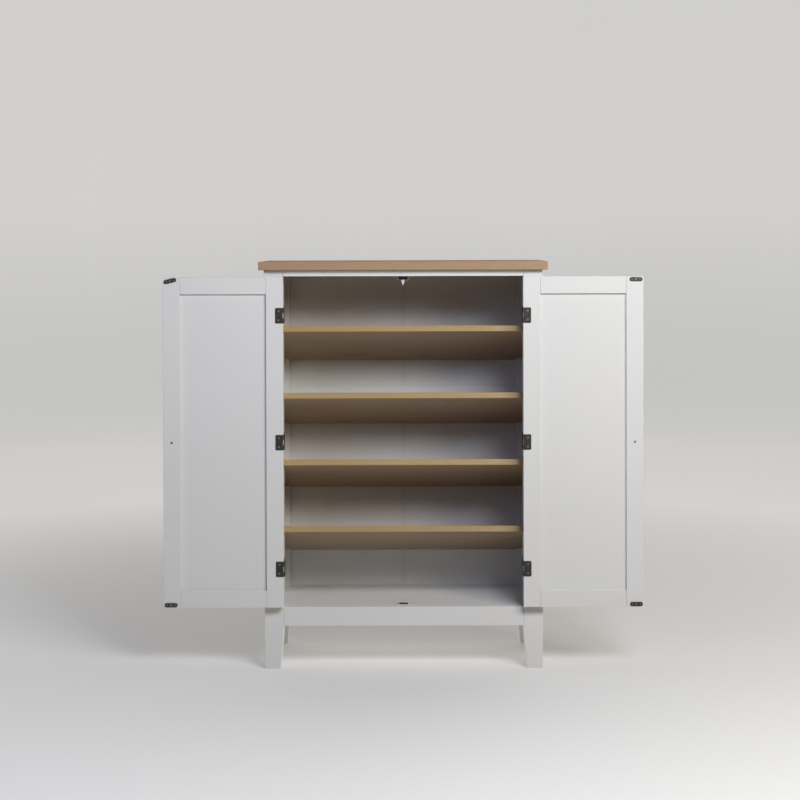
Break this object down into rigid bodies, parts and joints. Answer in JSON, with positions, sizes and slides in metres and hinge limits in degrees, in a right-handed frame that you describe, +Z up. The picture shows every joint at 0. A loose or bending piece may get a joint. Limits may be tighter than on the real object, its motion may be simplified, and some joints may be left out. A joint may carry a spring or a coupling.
{
  "type": "shoe cabinet",
  "caption": "Free-standing shoe cabinet on tapered legs, with sloping shoe shelves, an oak-coloured top and framed doors on side hinges.",
  "frame": {"origin": "on the floor, under the middle of the whole object with its doors open", "axes": "+X along the width to the right as a person in front sees it, +Y from the open front to the back, +Z up"},
  "size_m": [1.4068, 0.3813, 1.2],
  "materials": {
    "white_paint": "satin paint",
    "oak": "satin lacquer",
    "dark_steel": "satin",
    "strike_steel": "satin",
    "knob_steel": "brushed",
    "white_plastic": "matte"
  },
  "bodies": {
    "carcass": {"top_board": "oak", "front_leg_left": "white_paint", "front_leg_right": "white_paint", "back_leg_left": "white_paint", "back_leg_right": "white_paint", "top_front_rail": "white_paint", "bottom_front_rail": "white_paint", "side_top_rail_left": "white_paint", "side_top_rail_right": "white_paint", "side_bottom_rail_left": "white_paint", "side_bottom_rail_right": "white_paint", "side_panel_left": "white_paint", "side_panel_right": "white_paint", "back_top_rail": "white_paint", "back_bottom_rail": "white_paint", "back_centre_rail": "white_paint", "back_panel_left": "white_paint", "back_panel_right": "white_paint", "back_joint_strip": "white_plastic", "bottom_board": "white_paint", "shelf_1": "oak", "shelf_2": "oak", "shelf_3": "oak", "shelf_4": "oak", "top_catch": "white_plastic", "bottom_catch": "white_plastic", "left_hinge_1_frame_leaf": "dark_steel", "left_hinge_1_pin": "dark_steel", "left_hinge_2_frame_leaf": "dark_steel", "left_hinge_2_pin": "dark_steel", "left_hinge_3_frame_leaf": "dark_steel", "left_hinge_3_pin": "dark_steel", "right_hinge_1_frame_leaf": "dark_steel", "right_hinge_1_pin": "dark_steel", "right_hinge_2_frame_leaf": "dark_steel", "right_hinge_2_pin": "dark_steel", "right_hinge_3_frame_leaf": "dark_steel", "right_hinge_3_pin": "dark_steel"},
    "left_door": {"left_door_hinge_stile": "white_paint", "left_door_meeting_stile": "white_paint", "left_door_top_rail": "white_paint", "left_door_bottom_rail": "white_paint", "left_door_panel": "white_paint", "left_knob": "knob_steel", "left_top_strike": "strike_steel", "left_bottom_strike": "strike_steel", "left_hinge_1_door_leaf": "dark_steel", "left_hinge_2_door_leaf": "dark_steel", "left_hinge_3_door_leaf": "dark_steel"},
    "right_door": {"right_door_hinge_stile": "white_paint", "right_door_meeting_stile": "white_paint", "right_door_top_rail": "white_paint", "right_door_bottom_rail": "white_paint", "right_door_panel": "white_paint", "right_knob": "knob_steel", "right_top_strike": "strike_steel", "right_bottom_strike": "strike_steel", "right_hinge_1_door_leaf": "dark_steel", "right_hinge_2_door_leaf": "dark_steel", "right_hinge_3_door_leaf": "dark_steel"}
  },
  "joints": [
    {"name": "left_door_hinge", "type": "hinge", "parent": "carcass", "child": "left_door", "pos_m": [-0.3523, -0.16535, 0.67075], "axis": [0, 0, 1], "range_deg": [0, 180]},
    {"name": "right_door_hinge", "type": "hinge", "parent": "carcass", "child": "right_door", "pos_m": [0.3523, -0.16535, 0.67075], "axis": [0, 0, -1], "range_deg": [0, 180]}
  ]
}
